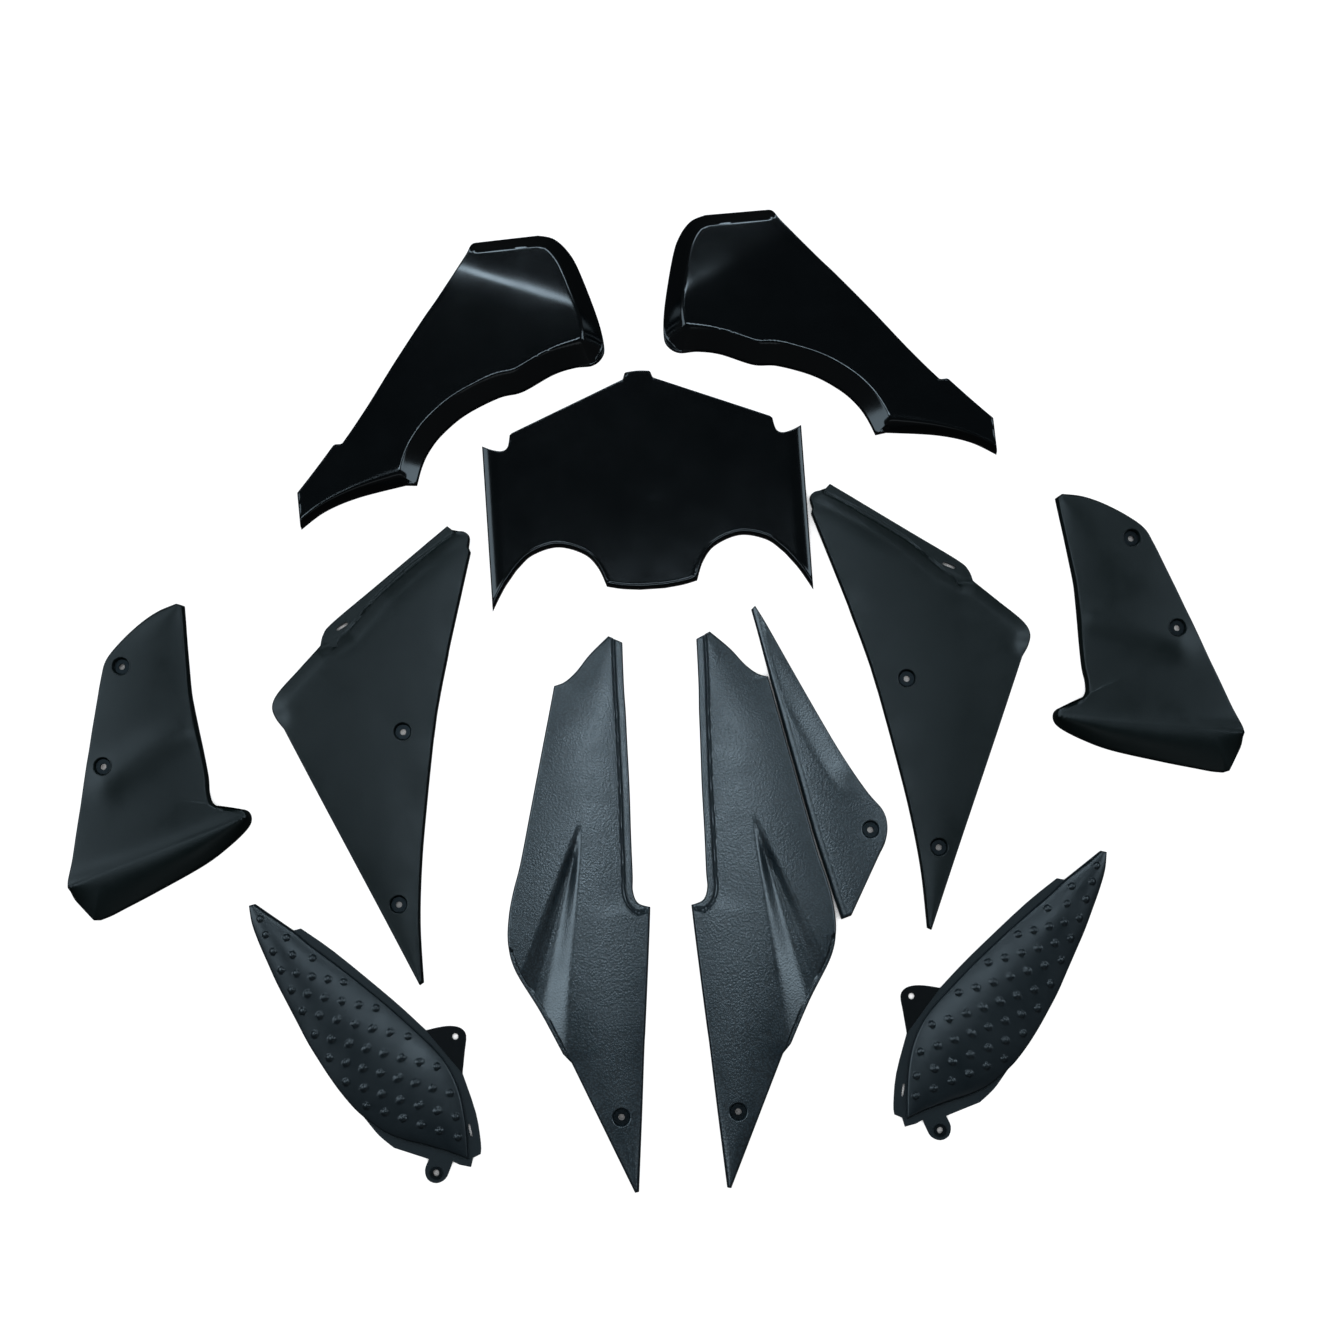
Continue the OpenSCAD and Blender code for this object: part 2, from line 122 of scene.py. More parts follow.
class FairingStudio(bpy.types.PropertyGroup):
    """Camera, and fineness of the meshes"""
    lens: FloatProperty(name="Lens", description="Focal length of the camera", default=50,
                        min=10, subtype="DISTANCE_CAMERA")
    distance: length("Camera distance", "From the camera to the middle of its view", 1674)
    elevation: FloatProperty(name="Camera elevation", description="Angle above the floor",
                             default=math.radians(80.5), subtype="ANGLE")
    panel_grid: length("Mesh pitch", "Distance between the points of a panel's mesh", 2.2, 0.5)
    pad_grid: length("Pad mesh pitch", "Distance between the points of a pad's mesh", 0.9, 0.3)
    columns: IntProperty(name="Columns", description="Points across a panel", default=112, min=12)


# ---------------- outlines, in millimetres
# Each panel is drawn face up as the left one of its pair. Its outer and inner edges run from
# its top end to its bottom end, as points in pairs that lie across from each other. A third
# value of 1 makes a sharp corner, and the edge is a smooth curve through the rest.

DUCT_OUTER = [
    (-38, 111, 1), (-41, 104), (-39.5, 90), (-39.5, 70), (-40, 50), (-40.5, 36), (-41, 28),
    (-41.5, 20), (-42, 6), (-42.5, -12), (-43, -36), (-43, -52), (-43, -76), (-43.5, -94),
    (-44, -106), (-44.5, -114), (-45, -121, 1), (-51, -125, 1), (-53, -148), (-55, -168),
    (-56.5, -181, 1),
]
DUCT_INNER = [
    (6, 144, 1), (20, 148.5), (37, 145), (56, 134), (94, 103), (114, 82), (118, 71),
    (114, 60), (101, 50), (87, 34), (71, 6), (55, -10), (37, -39), (28, -66),
    (26, -86), (28, -102), (33, -119, 1), (24, -124, 1), (-8, -156), (-27, -182),
    (-37, -207, 1),
]
FIN_OUTER = [
    (-19, 149, 1), (-34, 139.5), (-48, 125.5), (-62, 106), (-71, 88), (-72, 72), (-71, 48),
    (-70, 24), (-69, 6), (-68.5, -6), (-68, -14), (-67.5, -22), (-67, -30), (-66.5, -38),
    (-66, -46), (-65, -66), (-63.5, -90), (-62.5, -112), (-57, -124), (-46, -133),
    (-35, -141, 1),
]
FIN_INNER = [
    (-12, 148, 1), (-8, 134), (-3, 116), (4, 92), (10, 72), (15, 59), (23, 40),
    (32, 19), (40, -1), (44, -15), (50, -24), (64, -26), (79, -24.5), (85, -31),
    (83, -41), (70, -59), (51, -79), (15, -108), (-10, -127), (-20, -134.5),
    (-29, -140, 1),
]
FRAME_OUTER = [
    (25, 209, 1), (18, 200.5), (10, 191), (2, 181.2), (-2, 176.4), (-30, 142.6), (-62, 104),
    (-68, 92), (-68.5, 82, 1), (-84, 57), (-98, 34), (-101, 21), (-96, 11), (-86, 2, 1),
    (-46, -49), (-6, -99.5), (34, -150), (74, -201, 1),
]
FRAME_INNER = [
    (32, 205, 1), (41, 206), (47, 202), (48, 192, 1), (50.5, 188, 1), (49, 150), (47.5, 112),
    (47, 98), (47, 88), (46.5, 64), (46.5, 40), (47, 28), (47.5, 18), (48, 8),
    (52, -44), (57, -96), (65, -148), (77, -198, 1),
]
SIDE_OUTER = [
    (6, 261, 1), (-10, 243), (-21, 227), (-31, 217), (-40, 213, 1), (-43, 188), (-49, 140),
    (-54.6, 95), (-60, 52), (-64.5, 28), (-67, 6), (-66, -18), (-58, -41), (-34, -75),
    (-12, -110, 1), (-4, -117, 1), (20, -158.7), (40, -193.5), (57, -223, 1),
]
SIDE_INNER = [
    (19, 256, 1), (21, 234), (23, 214), (24.5, 202), (26, 190), (28.5, 166), (33, 124),
    (36.5, 84), (40, 48), (41, 34), (46, 24), (57, 21, 1), (57.5, 0), (58, -36),
    (58.5, -84), (58.5, -100), (59.5, -150), (60, -184), (60.5, -222, 1),
]
WEDGE_OUTER = [
    (-38, 279, 1), (-46, 260), (-60, 223), (-80, 171), (-95, 134), (-112, 98), (-123, 80),
    (-125, 66), (-121, 52), (-113, 40), (-97, 16), (-81, -8, 1),
]
WEDGE_INNER = [
    (-34, 276, 1), (-36.5, 256), (-40.2, 222), (-46, 172), (-50.7, 134), (-54.9, 100),
    (-57.4, 80), (-59.5, 64), (-62.4, 46), (-65.6, 28), (-68, 12), (-72, -10, 1),
]
PAD_OUTER = [
    (1, 163, 1), (-6, 149), (-11, 132), (-15, 114), (-19, 95), (-22, 76), (-25, 56),
    (-28, 36), (-29.5, 18), (-30.5, 0), (-30.5, -18), (-29, -36), (-25.5, -51), (-20, -67),
    (-11, -82), (1, -97), (13, -113, 1),
]
PAD_INNER = [
    (6, 161, 1), (10, 147), (15, 133), (19.5, 119), (23, 104), (27, 90), (31, 76),
    (37, 54), (42, 34), (47, 12), (52, -14), (56, -39), (56, -57), (52, -76),
    (44, -95), (33, -114), (23, -129, 1),
]
# The nose panel is drawn from its middle to its right side, top edge and bottom edge
NOSE_TOP = [
    (0, 120.5), (12, 119.5, 1), (14, 113, 1), (28, 107.2), (45, 100), (56, 95.4), (66, 91.2),
    (85, 83.2), (104, 75.2), (121, 68, 1), (123.5, 56), (129, 52.5), (138, 54.5), (147, 59, 1),
]
NOSE_BOTTOM = [
    (0, -85), (10, -85), (13, -84.8), (28, -83), (41, -80, 1), (48, -62), (60, -48.5),
    (83, -40.5), (106, -46), (120, -57.5), (127, -66), (133, -74), (139, -84),
    (145.5, -96, 1),
]

# Turn of each panel in the layout, in degrees
TURNS = {
    "nose_panel": 4,
    "duct_panel_left": -30, "duct_panel_right": 42,
    "fin_panel_left": -9, "fin_panel_right": 26,
    "frame_cover_left": -9, "frame_cover_right": 18.5,
    "side_cover_left": -3, "side_cover_right": 8,
    "wedge_cover_right": 8,
    "grip_pad_left": 38, "grip_pad_right": -34,
}

# Screw cups, as the middle of each
FIN_CUPS = [(-55, 84), (-52, -7)]
FRAME_CUPS = [(20, 16), (44, -135)]
SIDE_CUPS = [(42, -160)]
WEDGE_CUPS = [(-109, 64)]

# Clip slot of the frame covers: middle, turn in degrees, length and width
CLIP_SLOT = (-52, 102, 42, 12, 3)

RIM = 3.0        # height of a panel's rim before its face rolls over
LEAST = 0.25     # thickness left at the very edge
RIM_ROUND = 1.2  # width over which a rim stands up
CUP_WALL = 1.6   # floor of a cup
SLEEVE = 4.0     # radius of the hole in a cup's floor


# ---------------- curves and distances

def flat(point):
    """The point without its corner mark."""
    return np.array(point[:2], float)


def is_corner(point):
    return len(point) > 2


def along(edge, u):
    """Points of an edge at u, where whole values of u are its own points."""
    u = np.atleast_1d(np.asarray(u, float))
    last = len(edge) - 1
    out = np.empty((len(u), 2))
    for k in range(last):
        here = (u >= k) & ((u < k + 1) | (k == last - 1))
        if not here.any():
            continue
        b, c = flat(edge[k]), flat(edge[k + 1])
        a = b if k == 0 or is_corner(edge[k]) else flat(edge[k - 1])
        d = c if k + 2 > last or is_corner(edge[k + 1]) else flat(edge[k + 2])
        t = (u[here] - k)[:, None]
        out[here] = 0.5 * (2 * b + (c - a) * t + (2 * a - 5 * b + 4 * c - d) * t ** 2
                           + (3 * b - a - 3 * c + d) * t ** 3)
    return out


def chain(edge, start=0, end=None, per_knot=6):
    """A stretch of an edge as a chain of points."""
    end = len(edge) - 1 if end is None else end
    return along(edge, np.linspace(start, end, int(round((end - start) * per_knot)) + 1))


def bowed(a, b, bow, count=14):
    """Chain of points from a to b that bows to the left of its way by bow in its middle."""
    a, b = np.array(a, float), np.array(b, float)
    t = np.linspace(0, 1, count + 1)[:, None]
    left = np.array([a[1] - b[1], b[0] - a[0]]) / math.dist(a, b)
    return a + (b - a) * t + 4 * bow * t * (1 - t) * left


def to_chain(p, points):
    """Distance from each point of p to a chain of points."""
    best = np.full(len(p), 1e9)
    for a, b in zip(points[:-1], points[1:]):
        d = b - a
        t = np.clip(((p - a) @ d) / max(d @ d, 1e-9), 0, 1)
        best = np.minimum(best, np.hypot(*(p - a - t[:, None] * d).T))
    return best


def side_of(p, a, b):
    """Signed distance from the line through a and b, positive to the left of its direction."""
    a, b = np.asarray(a, float), np.asarray(b, float)
    d = (b - a) / np.linalg.norm(b - a)
    q = p - a
    return d[0] * q[:, 1] - d[1] * q[:, 0]


def soft(t):
    """Smooth step from 0 to 1."""
    t = np.clip(t, 0, 1)
    return t * t * (3 - 2 * t)


def quarter(t):
    """Quarter round from 0 to 1."""
    return np.sqrt(np.clip(1 - (1 - np.clip(t, 0, 1)) ** 2, 0, 1))


def ramp(t, blend):
    """Straight rise to 1 that rounds off at its top over a share blend of its length."""
    t = np.maximum(t, 0)
    return np.minimum(0.5 * (t + 1 - np.sqrt((t - 1) ** 2 + blend ** 2)) + blend ** 2 / 4, 1)


def smooth_min(a, b, radius):
    """The lesser of a and b, rounded off where they are nearly equal."""
    return 0.5 * (a + b - np.sqrt((a - b) ** 2 + radius ** 2))


def crown(v):
    """1 in the middle of a row and 0 at its ends."""
    return 1 - (2 * v - 1) ** 2


def all_round(outer, inner):
    """The four edges of a panel as chains."""
    ends = [np.array([flat(outer[k]), flat(inner[k])]) for k in (0, -1)]
    return [chain(outer), chain(inner), *ends]


def to_any(p, chains):
    """Distance from each point of p to the nearest of some chains."""
    return np.min([to_chain(p, c) for c in chains], 0)


# ---------------- meshes

END_STEPS = (0, 0.25, 0.6, 1.1, 1.8, 2.7, 3.8, 5.2, 7)  # rows at both ends of a panel


def row_marks(outer, inner, pitch):
    """Where the rows of a panel lie: on every corner, and close together at both ends."""
    last = len(outer) - 1
    u = np.linspace(0, last, last * 40 + 1)
    run = 0
    for edge in (outer, inner):
        steps = np.hypot(*np.diff(along(edge, u), axis=0).T)
        run = run + np.concatenate([[0], np.cumsum(steps)]) / 2
    total = run[-1]
    ends = np.array(END_STEPS)
    middle = np.linspace(ends[-1], total - ends[-1], max(2, int(total / pitch)))
    marks = np.concatenate([ends[:-1], middle, (total - ends)[:-1]])
    corners = np.array([run[40 * k] for k in range(1, last)
                        if is_corner(outer[k]) or is_corner(inner[k])])
    if len(corners):
        near = np.abs(marks[:, None] - corners[None]).min(1) < 0.45 * pitch
        marks = np.concatenate([marks[~near], corners])
    return np.interp(np.sort(marks), run, u)


def column_shares(count, pull=0.86):
    """Shares of a row at which its points lie, closer together near the edges."""
    t = np.linspace(0, 1, count + 1)
    return t - pull * np.sin(2 * math.pi * t) / (2 * math.pi)


class Sheet:
    """The grid of points of one panel, in its own frame."""

    def __init__(self, outer, inner, pitch, columns):
        u, v = row_marks(outer, inner, pitch), column_shares(columns)
        a, b = along(outer, u), along(inner, u)
        grid = a[:, None] + (b - a)[:, None] * v[None, :, None]
        self.rows, self.columns = len(u), len(v)
        self.p = grid.reshape(-1, 2)
        self.across = np.tile(v, self.rows)


def shell(name, sheet, over, wall, solid_under=None):
    """Closed shell over a sheet. over(p, across, inset) gives the heights of its face."""
    top = np.column_stack([sheet.p, over(sheet.p, sheet.across, 0)])
    if solid_under is None:
        low = np.maximum(over(sheet.p, sheet.across, wall) - wall, 0)
    else:
        low = np.full(len(sheet.p), solid_under)
    low = np.minimum(low, top[:, 2] - LEAST / 2)
    under = np.column_stack([sheet.p, low])
    r, c, n = sheet.rows, sheet.columns, len(sheet.p)
    k = np.arange(n).reshape(r, c)
    faces = np.stack([k[:-1, :-1], k[:-1, 1:], k[1:, 1:], k[1:, :-1]], -1).reshape(-1, 4)
    ring = np.concatenate([k[0, :-1], k[:-1, -1], k[-1, :0:-1], k[:0:-1, 0]])
    after = np.roll(ring, -1)
    sides = np.stack([ring, ring + n, after + n, after], -1)
    faces = np.concatenate([faces, faces[:, ::-1] + n, sides])
    mesh = bpy.data.meshes.new(name)
    mesh.from_pydata((np.concatenate([top, under]) * MM).tolist(), [], faces.tolist())
    mesh.validate()
    return new_object(name, mesh)


def new_object(name, mesh):
    """A mesh as an object of the scene."""
    obj = bpy.data.objects.new(name, mesh)
    bpy.context.scene.collection.objects.link(obj)
    return obj


def turned(points, degrees):
    """Points turned about the origin."""
    t = math.radians(degrees)
    return points @ np.array([[math.cos(t), math.sin(t)], [-math.sin(t), math.cos(t)]])


def lathe(name, middle, rings, sides=64):
    """Closed ring of revolution through (radius, heights) pairs, about an upright axis."""
    verts, faces = [], []
    for radius, heights in rings:
        xy = circle(middle, radius, sides)
        z = heights(xy) if callable(heights) else np.full(sides, heights)
        verts += np.column_stack([xy, z]).tolist()
    count = len(rings)
    for i in range(count):
        for j in range(sides):
            a, b = i * sides + j, i * sides + (j + 1) % sides
            c, d = ((i + 1) % count) * sides + (j + 1) % sides, ((i + 1) % count) * sides + j
            faces.append((a, b, c, d))
    mesh = bpy.data.meshes.new(name)
    mesh.from_pydata((np.array(verts) * MM).tolist(), [], faces)
    return new_object(name, mesh)


def prism(name, ring, low, high):
    """Upright prism on a ring of points, used as a cutter."""
    count = len(ring)
    verts = [(x, y, z) for z in (low, high) for x, y in ring]
    faces = [tuple(range(count))[::-1], tuple(range(count, 2 * count))]
    faces += [(j, (j + 1) % count, count + (j + 1) % count, count + j) for j in range(count)]
    mesh = bpy.data.meshes.new(name)
    mesh.from_pydata((np.array(verts) * MM).tolist(), [], faces)
    return new_object(name, mesh)


def circle(middle, radius, sides=64):
    """Points round a middle."""
    turns = np.linspace(0, 2 * math.pi, sides, endpoint=False)
    return np.asarray(middle) + radius * np.column_stack([np.cos(turns), np.sin(turns)])


def bar_ring(x, y, turn, long, wide, steps=13):
    """Points round a bar with round ends: its middle, turn in degrees, length and width."""
    half, radius = (long - wide) / 2, wide / 2
    a = np.radians(np.concatenate([np.linspace(-90, 90, steps), np.linspace(90, 270, steps)]))
    ends = np.where(np.arange(2 * steps) < steps, half, -half)
    local = np.column_stack([ends + radius * np.cos(a), radius * np.sin(a)])
    return turned(local, turn) + (x, y)


def cut(obj, cutters):
    """Cuts the cutters out of obj and removes them."""
    for cutter in cutters:
        step = obj.modifiers.new("cut", "BOOLEAN")
        step.operation = "DIFFERENCE"
        step.solver = "MANIFOLD"
        step.object = cutter
    graph = bpy.context.evaluated_depsgraph_get()
    made = bpy.data.meshes.new_from_object(obj.evaluated_get(graph))
    before = len(obj.data.polygons)
    if len(made.polygons) == before:
        raise RuntimeError(f"nothing was cut from {obj.name}")
    obj.modifiers.clear()
    obj.data = made
    for cutter in cutters:
        bpy.data.objects.remove(cutter)


def joined(obj, others):
    """Adds the meshes of others to obj."""
    with bpy.context.temp_override(active_object=obj, object=obj,
                                   selected_editable_objects=[obj, *others],
                                   selected_objects=[obj, *others]):
        bpy.ops.object.join()
    return obj


def collar_seats(node, count):
    """Heights at which the flanges of a node's collars rest, from the lowest up."""
    z = np.array([v.co.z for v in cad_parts[node].data.vertices]) / MM
    levels = np.unique(np.round(z, 2))
    two_heights = count > 1 and len(levels) >= 5
    feet = levels[[0, len(levels) // 2]] if two_heights else levels[[0] * count]
    return [float(foot) + CUP_WALL for foot in feet]


def add_cups(obj, cups, seats, over, sizes):
    """Cuts a screw cup into obj at each middle, down to its seat. over(p) is its face."""
    radius = sizes.cup_radius / MM
    cutters, rings = [], []
    for i, middle in enumerate(cups):
        face = float(over(np.array([middle], float))[0])
        floor = seats[i]
        if face - floor < 2:
            raise RuntimeError(f"cup {i} of {obj.name} is only {face - floor:.1f} mm deep")
        outside = radius + 0.9
        cutters.append(prism(f"cutter_{i}", circle(middle, outside), -1, face + 20))

        def lip(drop):
            return lambda xy: over(xy) - drop

        rings.append(lathe(f"cup_{i}", middle, [
            (outside, lip(0)), (radius + 0.5, lip(0.1)), (radius + 0.2, lip(0.35)),
            (radius, lip(0.8)), (radius - 0.3, floor + 1.2), (radius - 0.7, floor + 0.4),
            (radius - 1.4, floor), (SLEEVE, floor), (SLEEVE, floor - CUP_WALL),
            (outside - 0.2, floor - CUP_WALL), (outside, floor),
        ]))
    cut(obj, cutters)
    return joined(obj, rings)


def finish_piece(obj, node, body, material, mirrored=False, crease=32):
    """Turns a piece and lays it where its CAD node lies, gives it its finish and its body."""
    mesh = obj.data
    co = np.empty(len(mesh.vertices) * 3)
    mesh.vertices.foreach_get("co", co)
    co = co.reshape(-1, 3)
    if mirrored:
        co[:, 0] *= -1
    co[:, :2] = turned(co[:, :2], TURNS[node])
    low, high = (np.array(corner)[:2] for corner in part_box(node))
    least, most = co.min(0)[:2], co.max(0)[:2]
    share = np.minimum(1, (high - low) / (most - least))
    co[:, :2] = (co[:, :2] - (least + most) / 2) * share + (low + high) / 2
    mesh.vertices.foreach_set("co", co.ravel())
    if mirrored:
        mesh.flip_normals()
    mesh.shade_smooth()
    mesh.set_sharp_from_angle(angle=math.radians(crease))
    mesh.update()
    mesh.materials.clear()
    mesh.materials.append(material)
    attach(obj, body)
    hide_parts(node)
    return obj


# ---------------- faces of the panels

def plain_rim(d, inset, height, roll):
    """Rim that stands up from the floor and rolls over to a face of a given height."""
    d = d - inset
    return LEAST + (RIM - LEAST) * quarter(d / RIM_ROUND) + (height - RIM) * quarter(d / roll)


def duct_face(sizes):
    """Raised face with a soft fold near its round end, a sloping band and a thin tail lip."""
    rise, band_w = sizes.duct_rise / MM, sizes.duct_band / MM
    upper = np.concatenate([[flat(DUCT_OUTER[0])], chain(DUCT_INNER, 0, 6)])
    lower = chain(DUCT_INNER, 6, 16)
    tail = chain(DUCT_INNER, 17, 20)
    rest = np.concatenate([chain(DUCT_OUTER), [flat(DUCT_INNER[-1])]])
    shut = chain(DUCT_INNER, 16, 20)
    fold = ((-25, 73), (81, 92))
    fold_round, above, below = 15, 0.1, 0.03     # roundness of the fold, and slopes beside it
    tail_fall, tail_least, tail_more = 1.2, 3, 5  # the face's fall, and the lip's widths
    valley, side_wall = 9, 3                     # where two bands meet, and the plain walls

    def over(p, across, inset):
        lift = side_of(p, *fold)
        away = np.sqrt(lift ** 2 + fold_round ** 2) - fold_round
        top = rise - np.where(lift > 0, above, below) * away
        top = top - tail_fall * soft((-60 - p[:, 1]) / 100)
        d_upper, d_lower = to_chain(p, upper) - inset, to_chain(p, lower) - inset
        d_band = np.maximum(smooth_min(d_upper, d_lower, valley), 0)
        d_tail = to_chain(p, tail) - inset
        d_rest, d_shut = to_chain(p, rest) - inset, to_chain(p, shut) - inset
        tail_w = tail_least + tail_more * soft((p[:, 0] + 40) / 60)
        lift_share = np.minimum(ramp(d_band / band_w, 0.03), ramp(d_tail / tail_w, 0.3))
        lift_share = np.minimum(lift_share, quarter(d_rest / side_wall))
        edge = np.min([d_upper, d_lower, d_rest, d_shut], 0)
        foot = LEAST + (RIM - LEAST) * quarter(edge / RIM_ROUND)
        return foot + (top - RIM) * lift_share

    return over


def fin_face(sizes):
    """Curved blade with a flared foot: a soft ridge and a wall that falls to the foot's edge."""
    rise = sizes.fin_rise / MM
    ridge = bowed((-62, -117), (84, -29), -5.8)
    bend = bowed((-45, -18), (12, 34), 2)
    foot = np.concatenate([chain(FIN_INNER, 13.3), [flat(FIN_OUTER[-1])],
                           chain(FIN_OUTER, 17.4, 20)[::-1]])
    edges = all_round(FIN_OUTER, FIN_INNER)
    ridge_high, ridge_wide = 3.4, 10.5           # the ridge above the blade
    bend_high, bend_wide = 2.8, 16               # the soft swell across the blade
    top_fall, edge_fall, foot_reach = 3, 2, 60   # the blade's falls, and where the foot ends

    def over(p, across, inset):
        to_ridge, to_foot = to_chain(p, ridge), np.maximum(to_chain(p, foot) - inset, 0)
        above = soft(0.5 + side_of(p, (-53, -113), (84, -30)) / 5)
        blade = rise - ridge_high + ridge_high * np.exp(-(to_ridge / ridge_wide) ** 2)
        blade = blade - top_fall * soft((p[:, 1] - 40) / 110)
        blade = blade - edge_fall * (1 - crown(across)) * above
        blade = blade + bend_high * np.exp(-(to_chain(p, bend) / bend_wide) ** 2) * above
        wall = RIM + (rise - RIM) * np.sin(to_foot / (to_foot + to_ridge + 1e-6) * math.pi / 2)
        face = np.where(to_ridge > foot_reach, blade, wall + (blade - wall) * above)
        d = to_any(p, edges)
        return plain_rim(d, inset, face, 2.6)

    return over


def frame_face(sizes):
    """Nearly flat face with a soft roll along its upper outer edge and a low clip strip."""
    rise = sizes.frame_rise / MM
    strip_line = np.array([(31, 210), (34, 203), (1, 169), (-23, 138), (-46, 98), (-60, 84),
                           (-70, 79)], float)
    strip_edge = chain(FRAME_OUTER, 0, 8)
    roll_edge = np.concatenate([strip_line[1:], chain(FRAME_OUTER, 8, 12)])
    edges = all_round(FRAME_OUTER, FRAME_INNER)
    strip_least, strip_more, strip_high, groove = 9.5, 6, 4.3, 0.6
    roll_fall, roll_wide, edge_fall = 5.3, 12.5, 1.1

    def over(p, across, inset):
        to_line, to_edge = to_chain(p, strip_line), to_chain(p, strip_edge)
        width = strip_least + strip_more * soft((125 - p[:, 1]) / 25)
        beyond = (to_edge < width) & (p[:, 1] > 82)
        signed = np.where(beyond, -to_line, to_line)
        step = soft(0.5 + (signed - inset - 0.3) / 1.6)
        roll = roll_fall * (1 - ramp(to_chain(p, roll_edge) / roll_wide, 0.4))
        face = rise - roll - edge_fall * (1 - crown(across))
        low = strip_high - groove * soft(1 - np.abs(to_line) / 2.4)
        d = to_any(p, edges)
        return plain_rim(d, inset, low + (face - low) * step, 1.5)

    return over


FLUTE_TOP, FLUTE_FOOT, FLUTE_DEPTH = (-9, 88), (-50, -36), 8
FLUTE_INSIDE, FLUTE_OUTSIDE = 0.5, 0.42      # shares of its width that its two walls take


def flute_at(p):
    """Depth of the side covers' flute, which widens from its top to the lower outer edge."""
    down = (FLUTE_TOP[1] - p[:, 1]) / (FLUTE_TOP[1] - FLUTE_FOOT[1])
    width = np.maximum(down * (FLUTE_TOP[0] - FLUTE_FOOT[0]), 1.5) + 4
    across = (FLUTE_TOP[0] + 2 - p[:, 0]) / width
    depth = FLUTE_DEPTH * soft(down * 2.2 + 0.12)
    return depth * soft(across / FLUTE_INSIDE) * soft((1 - across) / FLUTE_OUTSIDE)


def side_face(sizes):
    """Long face with a low channel strip along its inner edge, a flute and an under flange."""
    rise = sizes.side_rise / MM
    strip = chain(SIDE_INNER, 0, 10.2)
    flange = chain(SIDE_OUTER, 11.4, 14)
    rest = np.concatenate([chain(SIDE_OUTER), chain(SIDE_INNER, 10.2)[::-1]])
    top_edge = chain(SIDE_OUTER, 0, 4)
    edges = [strip, rest, np.array([flat(SIDE_OUTER[0]), flat(SIDE_INNER[0])])]
    channel_wide, channel_high, channel_dip = 8.2, 5.6, 1.2
    edge_fall, top_fall, toe_fall = 2.8, 2.2, 1.6    # the face's falls to its edges and ends
    flange_wide, flange_high = 3.2, 3.6

    def over(p, across, inset):
        to_strip = to_chain(p, strip)
        step = soft((to_strip - inset - channel_wide) / 1.8)
        channel = channel_high - channel_dip * soft((to_strip - 5.5) / 2.5)
        face = rise - edge_fall * (1 - crown(across))
        face = face - top_fall * soft(1 - to_chain(p, top_edge) / 46)
        face = face - flute_at(p) - toe_fall * soft((-60 - p[:, 1]) / 150)
        flange_step = soft((to_chain(p, flange) - inset - flange_wide) / 1.6)
        face = flange_high + (face - flange_high) * flange_step
        d = to_any(p, edges)
        return plain_rim(d, inset, channel + (face - channel) * step, 2.2)

    return over


def wedge_face(sizes):
    """Face with a rounded shoulder along its inner edge and a soft hollow by its outer edge."""
    rise = sizes.side_rise / MM
    inner = chain(WEDGE_INNER)
    hollow = ((-60, 223), (-109, 106))
    edges = all_round(WEDGE_OUTER, WEDGE_INNER)
    shoulder_wide, inner_fall = 9, 2.4
    hollow_deep, hollow_wide = 5.6, 27

    def over(p, across, inset):
        shoulder = quarter((to_chain(p, inner) - inset + 1.5) / shoulder_wide)
        face = RIM + (rise - RIM) * shoulder
        face = face - inner_fall * soft((to_chain(p, inner) - 8) / 50)
        into = np.maximum(side_of(p, *hollow), 0)
        face = face - hollow_deep * soft(1 - into / hollow_wide) * soft((p[:, 1] - 88) / 34)
        d = to_any(p, edges)
        return plain_rim(d, inset, np.maximum(face, RIM), 2)

    return over


def mirrored_half(edge):
    """The whole edge of the nose panel from its right half."""
    left = [(-x[0], x[1], 1) if is_corner(x) else (-x[0], x[1]) for x in edge[:0:-1]]
    return left + list(edge)


def nose_face(sizes):
    """Flat face with side strips that curve down, and thin lips on the scallops."""
    rise = sizes.nose_rise / MM
    top, bottom = mirrored_half(NOSE_TOP), mirrored_half(NOSE_BOTTOM)
    edges = all_round(top, bottom)
    low_edge, ends = edges[1], edges[2:]
    strip_wide, dip, lip_high = 18, 1.2, 0.9     # side strips, and the lips by the scallops
    gate, gate_high, gate_wide = (5, 2), 0.5, 1.6

    def over(p, across, inset):
        side = to_any(p, ends) - inset
        face = RIM + (rise - dip - RIM) * quarter((side + 2) / strip_wide)
        to_low = to_chain(p, low_edge) - inset
        lip = lip_high * np.exp(-((to_low - 2.2) / 1.1) ** 2)
        mark = gate_high * np.exp(-((p - gate) ** 2).sum(1) / gate_wide ** 2)
        d = to_any(p, edges)
        return plain_rim(d, inset, face + (lip + mark) * (inset == 0), 1.8)

    return over


# Rows of domes on a grip pad. Each starts by the outer edge, further below the last row than
# that one was below its own, and slants a little more
DOME_ROWS = 10
DOME_TOP, DOME_DROP, DOME_GROWTH = 147, 13.5, 0.8   # first row's height, and the rows' drops
DOME_SLANT, DOME_TURN = 44.5, 1.3                   # degrees below level, and more each row
DOME_INSET, DOME_MARGIN = 9.5, 7.6                  # clear of the outer and the inner edge
DOME_PITCH = 15.4                                   # between the domes of a row


def across_at(edge, y):
    """Where an edge chain lies across the pad at height y."""
    return np.interp(-y, -edge[:, 1], edge[:, 0])


